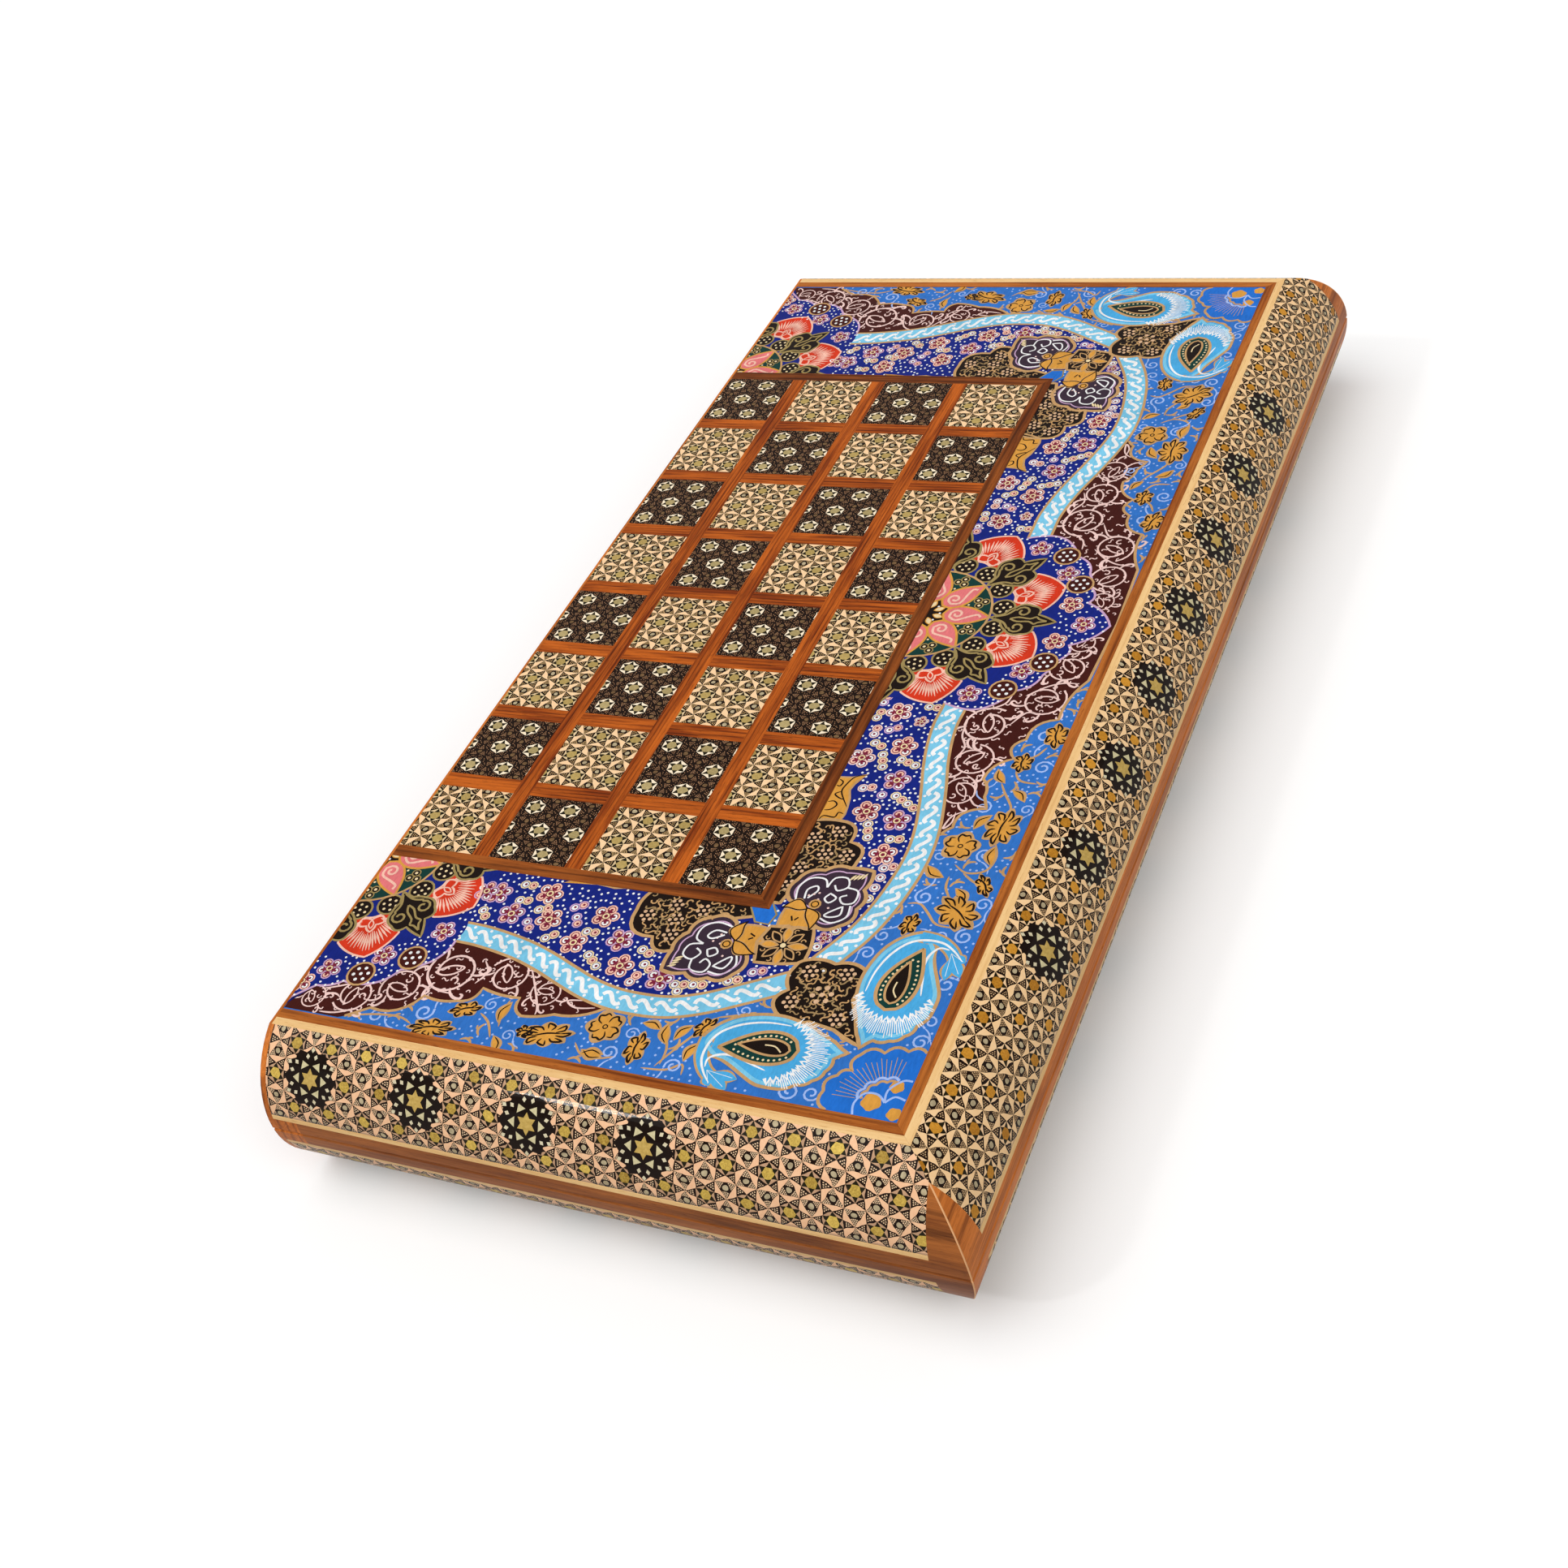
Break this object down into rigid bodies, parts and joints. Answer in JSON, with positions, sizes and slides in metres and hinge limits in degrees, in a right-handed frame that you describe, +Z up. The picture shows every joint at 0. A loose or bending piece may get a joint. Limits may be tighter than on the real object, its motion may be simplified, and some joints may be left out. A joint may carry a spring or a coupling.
{
  "type": "backgammon board",
  "caption": "Folding inlaid wooden backgammon case, two hinged trays with rounded veneered sides and half a chess field in a painted border on each outer face.",
  "frame": {"origin": "middle of the closed case's underside, ignoring the hinge knuckles", "axes": "+X from the hinge side to the opening side, +Y along the hinge, +Z up through the closed case"},
  "size_m": [0.253, 0.504, 0.062],
  "materials": {
    "rail_wood": "lacquered",
    "lath_wood": "lacquered",
    "line_wood": "lacquered",
    "pale_wood": "lacquered",
    "plywood": "bare",
    "play_wood": "lacquered",
    "walnut": "lacquered",
    "khatam": "lacquered",
    "khatam_black": "lacquered",
    "paint": "painted and lacquered",
    "brass": "polished",
    "magnet_steel": "plated"
  },
  "bodies": {
    "base": {"lower_hinge_rail": "rail_wood", "lower_front_rail": "rail_wood", "lower_near_rail": "rail_wood", "lower_far_rail": "rail_wood", "lower_face_panel": "plywood", "lower_playing_board": "play_wood", "lower_light_points": "pale_wood", "lower_dark_points": "walnut", "lower_rim_inlay": "khatam", "lower_magnets": "magnet_steel", "lower_khatam_front": "khatam", "lower_khatam_near": "khatam", "lower_khatam_far": "khatam", "lower_medallions": "khatam_black", "lower_pale_strips": "pale_wood", "lower_pale_line": "pale_wood", "lower_brown_line": "line_wood", "lower_painted_border": "paint", "lower_field_frame": "lath_wood", "lower_long_laths": "lath_wood", "lower_cross_laths": "lath_wood", "lower_light_squares": "khatam", "lower_dark_squares": "khatam_black", "lower_hinge_leaves": "brass", "lower_hinge_screws": "brass", "hinge_pins": "brass"},
    "lid": {"upper_hinge_rail": "rail_wood", "upper_front_rail": "rail_wood", "upper_near_rail": "rail_wood", "upper_far_rail": "rail_wood", "upper_face_panel": "plywood", "upper_playing_board": "play_wood", "upper_light_points": "pale_wood", "upper_dark_points": "walnut", "upper_rim_inlay": "khatam", "upper_magnets": "magnet_steel", "upper_khatam_front": "khatam", "upper_khatam_near": "khatam", "upper_khatam_far": "khatam", "upper_medallions": "khatam_black", "upper_pale_strips": "pale_wood", "upper_pale_line": "pale_wood", "upper_brown_line": "line_wood", "upper_painted_border": "paint", "upper_field_frame": "lath_wood", "upper_long_laths": "lath_wood", "upper_cross_laths": "lath_wood", "upper_light_squares": "khatam", "upper_dark_squares": "khatam_black", "upper_hinge_leaves": "brass", "upper_hinge_screws": "brass"}
  },
  "joints": [
    {"name": "lid_hinge", "type": "hinge", "parent": "base", "child": "lid", "pos_m": [-0.125, 0, 0.031], "axis": [0, -1, 0], "range_deg": [0, 180]}
  ]
}
